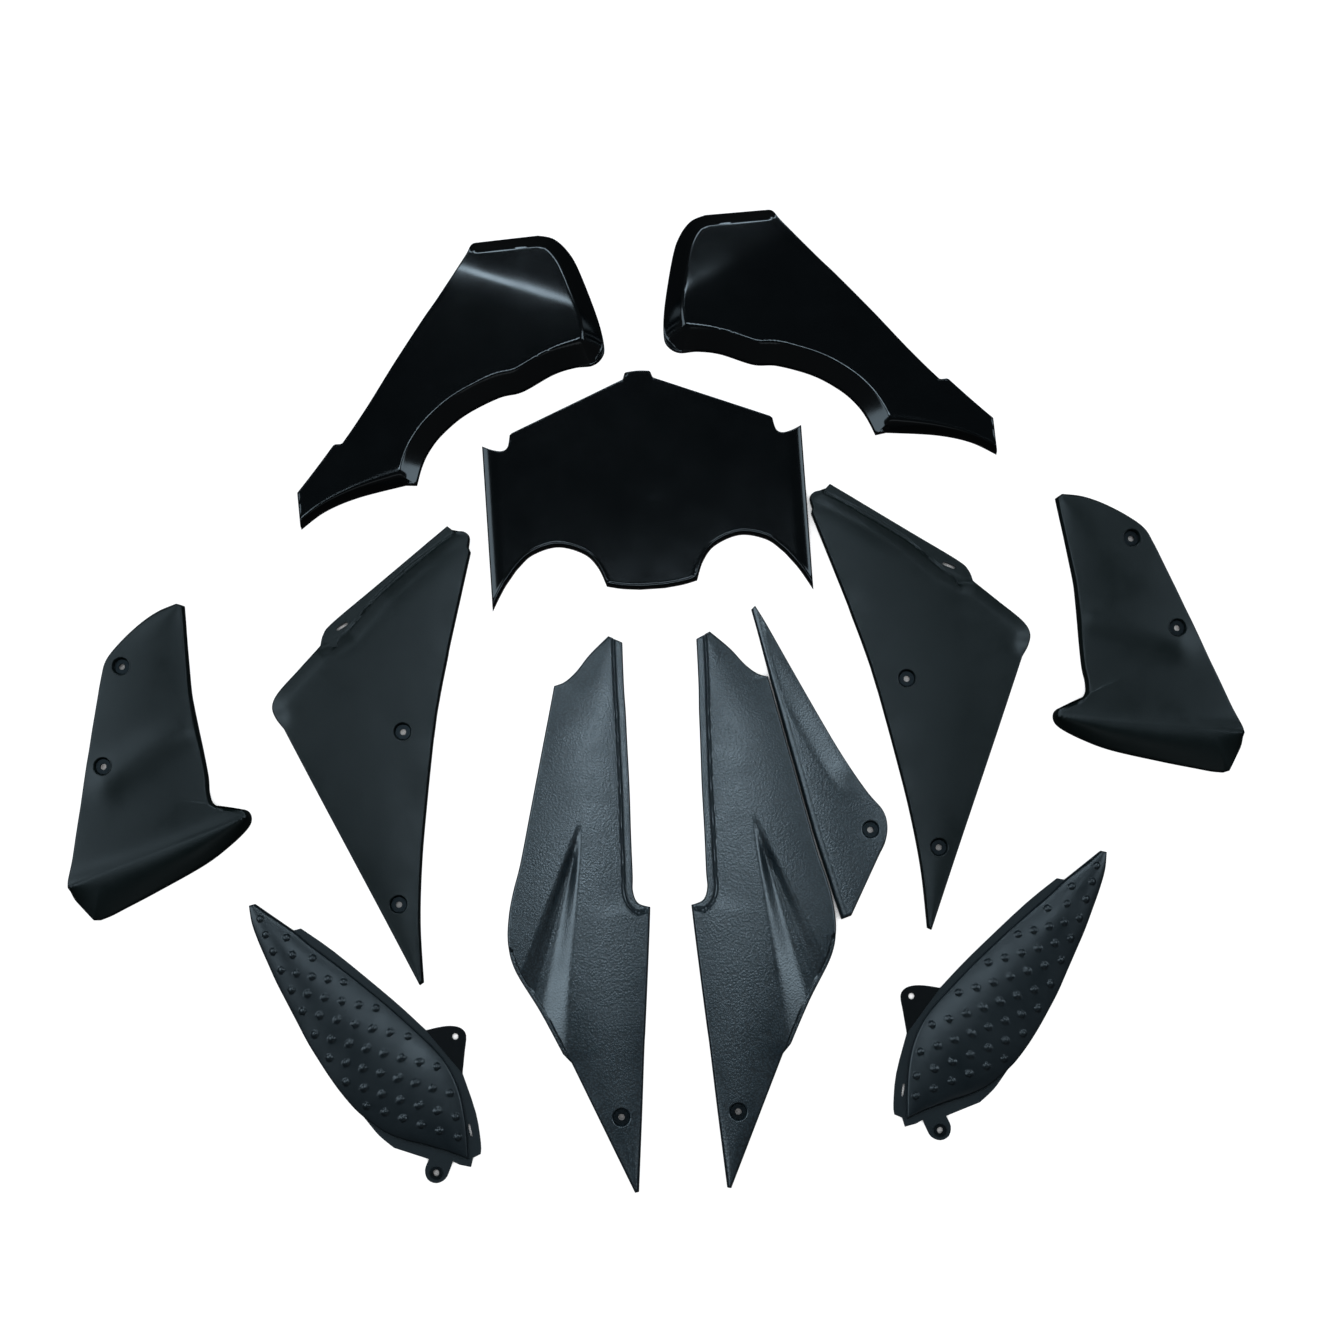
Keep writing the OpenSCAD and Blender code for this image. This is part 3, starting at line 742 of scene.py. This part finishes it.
def dome_middles():
    """Middle of every dome on a grip pad, spread evenly along each row."""
    outer, inner = chain(PAD_OUTER), chain(PAD_INNER)
    middles = []
    for row in range(DOME_ROWS):
        y = DOME_TOP - DOME_DROP * row - DOME_GROWTH * row ** 2
        start = np.array([across_at(outer, y) + DOME_INSET, y])
        slant = -math.radians(DOME_SLANT + DOME_TURN * row)
        way = start + np.arange(0, 140, 0.5)[:, None] * (math.cos(slant), math.sin(slant))
        clear = (to_chain(way, inner) > DOME_MARGIN) & (way[:, 0] < across_at(inner, way[:, 1]))
        end = way[np.argmin(clear)]
        gaps = round(math.dist(start, end) / DOME_PITCH)
        middles += [start + (end - start) * k / max(gaps, 1) for k in range(gaps + 1)]
    return middles


def pad_face(sizes, plate):
    """Crowned pad with rows of low domes."""
    rise = sizes.pad_rise / MM
    radius, lift = sizes.dome_radius / MM, sizes.dome_rise / MM
    foot, wall = 0.3, 1.9                        # the pad's edge above the plate
    middles = dome_middles()
    edges = all_round(PAD_OUTER, PAD_INNER)

    def over(p, across, inset):
        d = to_any(p, edges)
        to_ends = to_any(p, edges[2:])
        body = plate + foot + wall * quarter(d / 1.6)
        body = body + (rise - lift - foot - wall) * crown(across) ** 0.8 * quarter(to_ends / 90)
        domes = np.zeros(len(p))
        for middle in middles:
            r2 = ((p - middle) ** 2).sum(1) / radius ** 2
            domes = np.maximum(domes, lift * np.sqrt(np.clip(1 - r2, 0, 1)))
        return body + domes

    return over


# ---------------- materials

def add_node(tree, kind, settings=None, links=None):
    """Adds a node with its settings and input links, and returns it."""
    node = tree.nodes.new(kind)
    for key, value in (settings or {}).items():
        if key in node.inputs:
            node.inputs[key].default_value = value
        else:
            setattr(node, key, value)
    for key, source in (links or {}).items():
        tree.links.new(source, node.inputs[key])
    return node


def new_material(name):
    """An empty material with an output, as (material, tree, output)."""
    material = bpy.data.materials.new(name)
    material.use_nodes = True
    tree = material.node_tree
    tree.nodes.clear()
    return material, tree, add_node(tree, "ShaderNodeOutputMaterial")


def per_metre(size_mm):
    """Texture scale at which one cell of a pattern is size_mm wide."""
    return 1000 / size_mm


WAVE_MM, RUB_MM = 90, 35     # widths of the slow waves and of the rubs from handling
PLASTIC_IOR = 1.53           # ABS, polypropylene and nylon all lie near it


def moulded_plastic(name, tone, roughness, grain_mm, grain_depth, wave_depth, sheen_level=0.5,
                    shade=0.12, pebbled=False):
    """Moulded plastic: even tone, a surface grain, slow waves from the tool and light rubs.

    Grain and waves are in millimetres: the grain's width, and the depth of each."""
    material, tree, output = new_material(name)
    place = add_node(tree, "ShaderNodeTexCoord").outputs["Object"]
    wave = add_node(tree, "ShaderNodeTexNoise", {"Scale": per_metre(WAVE_MM), "Detail": 2.0},
                    {"Vector": place}).outputs["Fac"]
    if pebbled:
        cells = add_node(tree, "ShaderNodeTexVoronoi", {"Scale": per_metre(grain_mm)},
                         {"Vector": place}).outputs["Distance"]
        grain = add_node(tree, "ShaderNodeMapRange",
                         {"From Max": 0.75, "To Min": 1.0, "To Max": 0.0},
                         {"Value": cells}).outputs["Result"]
    else:
        grain = add_node(tree, "ShaderNodeTexNoise",
                         {"Scale": per_metre(grain_mm), "Detail": 2.0, "Roughness": 0.6},
                         {"Vector": place}).outputs["Fac"]
    rubs = add_node(tree, "ShaderNodeTexNoise", {"Scale": per_metre(RUB_MM), "Detail": 5.0,
                                                 "Roughness": 0.65},
                    {"Vector": place}).outputs["Fac"]
    rough = add_node(tree, "ShaderNodeMapRange",
                     {"From Min": 0.3, "From Max": 0.7, "To Min": roughness * 0.85,
                      "To Max": roughness * 1.2}, {"Value": rubs}).outputs["Result"]
    dark = tuple(c * (1 - shade) for c in tone)
    light = tuple(c * (1 + shade) for c in tone)
    tint = add_node(tree, "ShaderNodeMix",
                    {"data_type": "RGBA", "A": (*dark, 1), "B": (*light, 1)},
                    {"Factor": grain}).outputs["Result"]
    slow = add_node(tree, "ShaderNodeBump", {"Strength": 1.0, "Distance": wave_depth * MM},
                    {"Height": wave}).outputs["Normal"]
    fine = add_node(tree, "ShaderNodeBump", {"Strength": 1.0, "Distance": grain_depth * MM},
                    {"Height": grain, "Normal": slow}).outputs["Normal"]
    shader = add_node(tree, "ShaderNodeBsdfPrincipled",
                      {"IOR": PLASTIC_IOR, "Specular IOR Level": sheen_level},
                      {"Base Color": tint, "Roughness": rough, "Normal": fine})
    tree.links.new(shader.outputs["BSDF"], output.inputs["Surface"])
    return material


def gloss_abs(colours):
    # Polished ABS straight from a bright mould: deep black, sharp reflections, slight waves
    return moulded_plastic("gloss black ABS, polished mould", colours.gloss, roughness=0.12,
                           grain_mm=0.9, grain_depth=0.003, wave_depth=0.4, sheen_level=0.4)


def satin_abs(colours):
    # ABS from a lightly blasted mould: reflections spread into soft gradients. Its fine
    # texture is drawn at 1.3 mm so that it shows
    return moulded_plastic("satin black ABS, blasted mould", colours.satin, roughness=0.37,
                           grain_mm=1.3, grain_depth=0.05, wave_depth=0.6, sheen_level=0.27)


def grained_abs(colours):
    # ABS from an etched mould. The real grain is about 0.4 mm, drawn at 1.9 mm so that it shows
    return moulded_plastic("grained black ABS, etched mould", colours.grained, roughness=0.33,
                           grain_mm=1.9, grain_depth=0.1, wave_depth=0.6, sheen_level=0.85,
                           shade=0.6, pebbled=True)


def pad_plastic(colours):
    # Blasted polypropylene: dark, with soft highlights on the crown and on every dome. Its
    # fine texture is drawn at 1.2 mm so that it shows
    return moulded_plastic("satin polypropylene pad", colours.pad, roughness=0.35,
                           grain_mm=1.2, grain_depth=0.04, wave_depth=0.4, sheen_level=0.45)


def plate_plastic(colours):
    # Natural grey polypropylene of the backing plate: matt and lighter than the pad
    return moulded_plastic("grey polypropylene plate", colours.carrier, roughness=0.5,
                           grain_mm=1.2, grain_depth=0.02, wave_depth=0.3, sheen_level=0.25)


def bracket_plastic(colours):
    # Glass filled nylon of the bracket: nearly black and matt, with a faint speckle
    return moulded_plastic("black filled nylon", colours.bracket, roughness=0.5,
                           grain_mm=0.8, grain_depth=0.03, wave_depth=0.2, sheen_level=0.12)


def plated_steel(colours):
    # Zinc plated steel collar, turned: a grey metal ring with a soft turned sheen
    material, tree, output = new_material("zinc plated turned steel")
    place = add_node(tree, "ShaderNodeTexCoord").outputs["Object"]
    specks = add_node(tree, "ShaderNodeTexNoise", {"Scale": per_metre(1.5), "Detail": 3.0},
                      {"Vector": place}).outputs["Fac"]
    rough = add_node(tree, "ShaderNodeMapRange", {"To Min": 0.28, "To Max": 0.45},
                     {"Value": specks}).outputs["Result"]
    bump = add_node(tree, "ShaderNodeBump", {"Distance": 0.02 * MM}, {"Height": specks})
    shader = add_node(tree, "ShaderNodeBsdfPrincipled",
                      {"Base Color": (*colours.collar, 1), "Metallic": 1.0},
                      {"Roughness": rough, "Normal": bump.outputs["Normal"]})
    tree.links.new(shader.outputs["BSDF"], output.inputs["Surface"])
    return material


MADE = {}


def once(maker, colours):
    """The material that maker makes, made only once."""
    if maker not in MADE:
        MADE[maker] = maker(colours)
    return MADE[maker]


# ---------------- operators

class FairingOperator(bpy.types.Operator):
    """Part of the fairing set"""
    bl_options = {"REGISTER", "UNDO"}

    def tools(self, context):
        scene = context.scene
        return scene.fairing_sizes, scene.fairing_colours, scene.fairing_studio

    def sheet(self, context, outer, inner):
        studio = context.scene.fairing_studio
        return Sheet(outer, inner, studio.panel_grid / MM, studio.columns)


def pair(make, stem, body, material):
    """Builds the left and the right piece of a pair."""
    for side in ("left", "right"):
        piece = make(f"{stem}_{side}_skin")
        finish_piece(piece, f"{stem}_{side}", f"{body}_{side}", material, side == "right")


class FAIRING_OT_nose_panel(FairingOperator):
    """Builds the gloss nose panel with its scallops and lips"""
    bl_idname = "fairing.nose_panel"
    bl_label = "Nose panel"

    def execute(self, context):
        sizes, colours, _ = self.tools(context)
        sheet = self.sheet(context, mirrored_half(NOSE_TOP), mirrored_half(NOSE_BOTTOM))
        obj = shell("nose_panel_skin", sheet, nose_face(sizes), sizes.wall / MM)
        obj.data.flip_normals()
        finish_piece(obj, "nose_panel", "nose", once(gloss_abs, colours))
        return {"FINISHED"}


class FAIRING_OT_duct_panels(FairingOperator):
    """Builds the two gloss duct panels with their raised faces"""
    bl_idname = "fairing.duct_panels"
    bl_label = "Duct panels"

    def execute(self, context):
        sizes, colours, _ = self.tools(context)
        sheet = self.sheet(context, DUCT_OUTER, DUCT_INNER)
        face = duct_face(sizes)
        pair(lambda name: shell(name, sheet, face, sizes.wall / MM),
             "duct_panel", "duct", once(gloss_abs, colours))
        return {"FINISHED"}


def cupped(name, sheet, face, cups, collars, sizes, slots=()):
    """Shell with slots, and screw cups that hold the collars of a CAD node."""
    obj = shell(name, sheet, face, sizes.wall / MM)

    def height(p):
        return face(p, np.full(len(p), 0.5), 0)

    if slots:
        cut(obj, [prism(f"slot_{i}", bar_ring(*s), -1, 30) for i, s in enumerate(slots)])
    return add_cups(obj, cups, collar_seats(collars, len(cups)), height, sizes)


class FAIRING_OT_fin_panels(FairingOperator):
    """Builds the two satin fin panels with their flared feet"""
    bl_idname = "fairing.fin_panels"
    bl_label = "Fin panels"

    def execute(self, context):
        sizes, colours, _ = self.tools(context)
        sheet = self.sheet(context, FIN_OUTER, FIN_INNER)
        face = fin_face(sizes)
        pair(lambda name: cupped(name, sheet, face, FIN_CUPS, "fin_collars_left", sizes),
             "fin_panel", "fin", once(satin_abs, colours))
        return {"FINISHED"}


class FAIRING_OT_frame_covers(FairingOperator):
    """Builds the two satin frame covers with their clip strips"""
    bl_idname = "fairing.frame_covers"
    bl_label = "Frame covers"

    def execute(self, context):
        sizes, colours, _ = self.tools(context)
        sheet = self.sheet(context, FRAME_OUTER, FRAME_INNER)
        face = frame_face(sizes)
        pair(lambda name: cupped(name, sheet, face, FRAME_CUPS, "frame_cover_collars_left",
                                 sizes, [CLIP_SLOT]),
             "frame_cover", "frame", once(satin_abs, colours))
        return {"FINISHED"}


class FAIRING_OT_side_covers(FairingOperator):
    """Builds the two grained side covers with their flutes"""
    bl_idname = "fairing.side_covers"
    bl_label = "Side covers"

    def execute(self, context):
        sizes, colours, _ = self.tools(context)
        sheet = self.sheet(context, SIDE_OUTER, SIDE_INNER)
        face = side_face(sizes)
        pair(lambda name: cupped(name, sheet, face, SIDE_CUPS, "side_cover_collar_left",
                                 sizes),
             "side_cover", "side", once(grained_abs, colours))
        return {"FINISHED"}


class FAIRING_OT_wedge_cover(FairingOperator):
    """Builds the grained wedge cover that lies beside the right side cover"""
    bl_idname = "fairing.wedge_cover"
    bl_label = "Wedge cover"

    def execute(self, context):
        sizes, colours, _ = self.tools(context)
        sheet = self.sheet(context, WEDGE_OUTER, WEDGE_INNER)
        obj = cupped("wedge_cover_right_skin", sheet, wedge_face(sizes), WEDGE_CUPS,
                     "wedge_collar", sizes)
        finish_piece(obj, "wedge_cover_right", "wedge",
                     once(grained_abs, colours), mirrored=True)
        return {"FINISHED"}


class FAIRING_OT_grip_pads(FairingOperator):
    """Builds the two crowned grip pads with their domes"""
    bl_idname = "fairing.grip_pads"
    bl_label = "Grip pads"

    def execute(self, context):
        sizes, colours, studio = self.tools(context)
        pitch = studio.pad_grid / MM
        sheet = Sheet(PAD_OUTER, PAD_INNER, pitch, int(86 / pitch))
        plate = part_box("grip_pad_left")[0].z / MM
        face = pad_face(sizes, plate)
        pair(lambda name: shell(name, sheet, face, sizes.wall / MM, solid_under=plate),
             "grip_pad", "grip", once(pad_plastic, colours))
        return {"FINISHED"}


def dress(node, material, bevel=None):
    """Gives a CAD node its finish, and rounds its edges."""
    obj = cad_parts[node]
    obj.data.materials.clear()
    obj.data.materials.append(material)
    if bevel:
        step = obj.modifiers.new("round edges", "BEVEL")
        step.width = bevel * MM
        step.segments = 3
        step.limit_method = "ANGLE"
        step.angle_limit = math.radians(40)
        step.harden_normals = True


class FAIRING_OT_grip_plates(FairingOperator):
    """Finishes the backing plates and brackets of the grip panels"""
    bl_idname = "fairing.grip_plates"
    bl_label = "Grip plates and brackets"

    def execute(self, context):
        _, colours, _ = self.tools(context)
        for side in ("left", "right"):
            dress(f"grip_carrier_{side}", once(plate_plastic, colours), 0.8)
            dress(f"grip_bracket_{side}", once(bracket_plastic, colours), 0.6)
        return {"FINISHED"}


class FAIRING_OT_collars(FairingOperator):
    """Finishes the screw collars"""
    bl_idname = "fairing.collars"
    bl_label = "Screw collars"

    def execute(self, context):
        _, colours, _ = self.tools(context)
        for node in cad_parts:
            if "collar" in node:
                dress(node, once(plated_steel, colours), 0.3)
        return {"FINISHED"}


class FAIRING_OT_stage(FairingOperator):
    """Lays the floor and sets the lights and the camera"""
    bl_idname = "fairing.stage"
    bl_label = "Stage"

    def execute(self, context):
        _, colours, studio = self.tools(context)
        scene = context.scene
        lay_floor(colours)
        light_sky(scene)
        middle = (CAD_BOX[0] + CAD_BOX[1]) / 2
        target = Vector((middle.x + AIM_RIGHT, middle.y + AIM_UP, 0))
        for name, place, size, power, tint in LIGHTS:
            add_softbox(name, Vector(place), size, power, tint, target)
        place_camera(scene, studio, target)
        return {"FINISHED"}


FLOOR_HALF = 40.0                         # half of the floor's side, in metres
FLOOR_GAP = 0.3 * MM                      # keeps the floor clear of the rims
PAINTED_SHADOW_REACH = 20 * MM                     # how far from a panel the floor's painted shadow reaches
AIM_RIGHT, AIM_UP = 8.4 * MM, 9.6 * MM    # from the layout's middle to the camera's aim

# Softboxes: name, place in metres, size in metres, power in watts and colour
LIGHTS = [
    ("zenith softbox", (-0.06, 0.245, 2.2), (0.74, 0.33), 8, "#d2ebfb"),
    ("fold strip", (-0.31, 1.37, 2.2), (0.4, 0.14), 2.6, "#d2ebfb"),
    ("north softbox", (0.0, 2.25, 2.1), (2.2, 0.35), 27, "#d2ebfb"),
    ("west bank", (-2.2, 0.3, 1.7), (2.0, 2.0), 46, "#d2ebfb"),
    ("east bank", (2.2, 0.6, 1.7), (1.4, 1.6), 30, "#d2ebfb"),
    ("south fill", (0.6, -2.2, 1.6), (1.6, 0.8), 2, "#e4f3fa"),
]


def add_softbox(name, place, size, power, tint, target):
    """A rectangular softbox that faces the target."""
    light = bpy.data.lights.new(name, "AREA")
    light.shape = "RECTANGLE"
    light.size, light.size_y = size
    light.energy = power
    light.color = linear(tint)
    obj = bpy.data.objects.new(name, light)
    obj.location = place
    obj.rotation_euler = (target - place).to_track_quat("-Z", "Y").to_euler()
    bpy.context.scene.collection.objects.link(obj)


def lay_floor(colours):
    """A plain pale floor whose white is a glow, with painted shadow: the glow dims a little close
    to and under the panels.
    """
    half = FLOOR_HALF
    mesh = bpy.data.meshes.new("floor")
    mesh.from_pydata([(-half, -half, 0), (half, -half, 0), (half, half, 0), (-half, half, 0)],
                     [], [(0, 1, 2, 3)])
    floor = new_object("floor", mesh)
    floor.location.z = -FLOOR_GAP
    material, tree, output = new_material("white floor glow with painted shadow")
    # Painted shadow: an AO node dims the floor's white glow under the panels and beside their
    # edges. The floor's own colour is a dark grey, so its white comes from the glow.
    painted_shadow_ao = add_node(tree, "ShaderNodeAmbientOcclusion",
                        {"Distance": PAINTED_SHADOW_REACH, "samples": 8})
    glow_with_painted_shadow = add_node(tree, "ShaderNodeMapRange", {"From Min": 0.22, "From Max": 0.5},
                    {"Value": painted_shadow_ao.outputs["AO"]}).outputs["Result"]
    shader = add_node(tree, "ShaderNodeBsdfPrincipled",
                      {"Base Color": (0.12, 0.12, 0.12, 1), "Roughness": 0.8,
                       "Emission Color": (*colours.floor, 1)}, {"Emission Strength": glow_with_painted_shadow})
    tree.links.new(shader.outputs["BSDF"], output.inputs["Surface"])
    mesh.materials.append(material)
    floor.visible_glossy = False
    floor.visible_diffuse = False


def light_sky(scene):
    """Dim surroundings for the reflections, in front of a plain pale backdrop."""
    world = bpy.data.worlds.new("studio")
    scene.world = world
    world.use_nodes = True
    tree = world.node_tree
    tree.nodes.clear()
    place = add_node(tree, "ShaderNodeTexCoord").outputs["Generated"]
    height = add_node(tree, "ShaderNodeSeparateXYZ", links={"Vector": place}).outputs["Z"]
    ramp_node = add_node(tree, "ShaderNodeValToRGB", links={"Fac": height})
    stops = ramp_node.color_ramp.elements
    stops[0].position, stops[0].color = 0.0, (0.02, 0.02, 0.02, 1)
    stops[1].position, stops[1].color = 1.0, (0.03, 0.032, 0.034, 1)
    for position, level in ((0.02, 0.05), (0.35, 0.07), (0.75, 0.04)):
        stop = stops.new(position)
        stop.color = (level * 0.97, level, level * 1.03, 1)
    dim = add_node(tree, "ShaderNodeBackground", {"Strength": 1.0},
                   {"Color": ramp_node.outputs["Color"]})
    pale = add_node(tree, "ShaderNodeBackground", {"Color": (1, 1, 1, 1), "Strength": 1.0})
    seen = add_node(tree, "ShaderNodeLightPath").outputs["Is Camera Ray"]
    both = add_node(tree, "ShaderNodeMixShader", links={"Fac": seen})
    tree.links.new(dim.outputs["Background"], both.inputs[1])
    tree.links.new(pale.outputs["Background"], both.inputs[2])
    output = add_node(tree, "ShaderNodeOutputWorld")
    tree.links.new(both.outputs["Shader"], output.inputs["Surface"])


def place_camera(scene, studio, target):
    """A camera that looks steeply down on the layout."""
    data = bpy.data.cameras.new("camera")
    data.lens = studio.lens
    data.sensor_width = 36
    camera = bpy.data.objects.new("camera", data)
    up = studio.elevation
    offset = Vector((0, -math.cos(up), math.sin(up))) * studio.distance
    camera.location = target + offset
    camera.rotation_euler = (-offset).to_track_quat("-Z", "Y").to_euler()
    scene.collection.objects.link(camera)
    scene.camera = camera
    scene.view_settings.view_transform = "Standard"


# ---------------- panel and registration

PIECES = (
    FAIRING_OT_nose_panel, FAIRING_OT_duct_panels, FAIRING_OT_fin_panels,
    FAIRING_OT_frame_covers, FAIRING_OT_side_covers, FAIRING_OT_wedge_cover,
    FAIRING_OT_grip_pads, FAIRING_OT_grip_plates, FAIRING_OT_collars, FAIRING_OT_stage,
)


class FAIRING_PT_build(bpy.types.Panel):
    """Lists the operators of the fairing set"""
    bl_idname = "FAIRING_PT_build"
    bl_label = "Fairing panel set"
    bl_space_type = "VIEW_3D"
    bl_region_type = "UI"
    bl_category = "Fairing"

    def draw(self, context):
        for piece in PIECES:
            self.layout.operator(piece.bl_idname)


GROUPS = (
    ("fairing_sizes", FairingSizes), ("fairing_colours", FairingColours),
    ("fairing_studio", FairingStudio),
)


def register():
    for name, group in GROUPS:
        bpy.utils.register_class(group)
        setattr(bpy.types.Scene, name, PointerProperty(type=group))
    for piece in (*PIECES, FAIRING_PT_build):
        bpy.utils.register_class(piece)


def unregister():
    for piece in reversed((*PIECES, FAIRING_PT_build)):
        bpy.utils.unregister_class(piece)
    for name, group in reversed(GROUPS):
        delattr(bpy.types.Scene, name)
        bpy.utils.unregister_class(group)


def main():
    """Builds every piece and the stage."""
    register()
    for piece in PIECES:
        group, name = piece.bl_idname.split(".")
        getattr(getattr(bpy.ops, group), name)()


if __name__ == "__main__":
    main()
